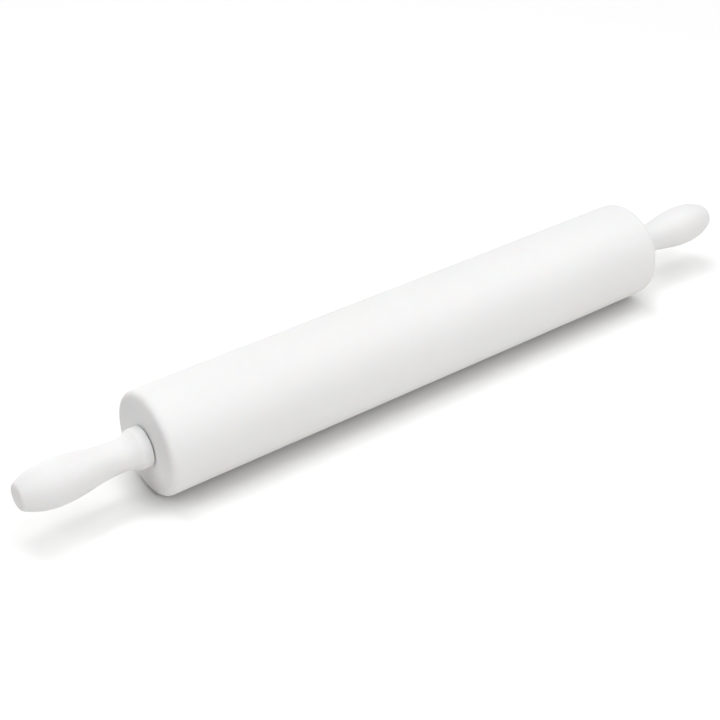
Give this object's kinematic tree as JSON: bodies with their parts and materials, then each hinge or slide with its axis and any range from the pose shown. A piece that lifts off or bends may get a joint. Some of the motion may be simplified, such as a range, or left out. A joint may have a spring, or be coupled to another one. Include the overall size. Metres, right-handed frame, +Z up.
{
  "type": "plastic rolling pin",
  "caption": "White plastic rolling pin: a bored roller turns on sealed ball bearings on a steel axle with two turned plastic handles.",
  "frame": {"origin": "middle of the pin's axis, halfway between the roller's end faces", "axes": "+X along the pin's axis towards the right-hand handle, +Z up when the pin lies on a table"},
  "size_m": [0.425, 0.0508, 0.0508],
  "materials": {
    "roller_plastic": "fine satin, white polyethylene",
    "handle_plastic": "satin, white moulded plastic",
    "stainless": "turned stainless steel",
    "bearing_steel": "ground bearing steel",
    "ball_steel": "polished",
    "brass": "machined",
    "nylon": "natural nylon",
    "seal_rubber": "matt nitrile rubber"
  },
  "bodies": {
    "handles_and_axle": {"axle": "stainless", "spacer_tube": "stainless", "handle_left": "handle_plastic", "insert_left": "brass", "collar_spacer_left": "stainless", "inner_race_left": "bearing_steel", "handle_right": "handle_plastic", "insert_right": "brass", "collar_spacer_right": "stainless", "inner_race_right": "bearing_steel"},
    "roller_body": {"roller": "roller_plastic", "outer_race_left": "bearing_steel", "outer_seal_left": "seal_rubber", "inner_seal_left": "seal_rubber", "outer_race_right": "bearing_steel", "outer_seal_right": "seal_rubber", "inner_seal_right": "seal_rubber"},
    "ball_cage_left": {"cage_left": "nylon", "balls_left": "ball_steel"},
    "ball_cage_right": {"cage_right": "nylon", "balls_right": "ball_steel"}
  },
  "joints": [
    {"name": "roller_spin", "type": "hinge", "parent": "handles_and_axle", "child": "roller_body", "pos_m": [0, 0, 0], "axis": [1, 0, 0], "continuous": true},
    {"name": "ball_cage_left_spin", "type": "hinge", "parent": "handles_and_axle", "child": "ball_cage_left", "pos_m": [-0.1463, 0, 0], "axis": [1, 0, 0], "continuous": true},
    {"name": "ball_cage_right_spin", "type": "hinge", "parent": "handles_and_axle", "child": "ball_cage_right", "pos_m": [0.1463, 0, 0], "axis": [1, 0, 0], "continuous": true}
  ],
  "couplings": [
    {"joint": "ball_cage_left_spin", "follows": "roller_spin", "ratio": 0.6},
    {"joint": "ball_cage_right_spin", "follows": "roller_spin", "ratio": 0.6}
  ]
}
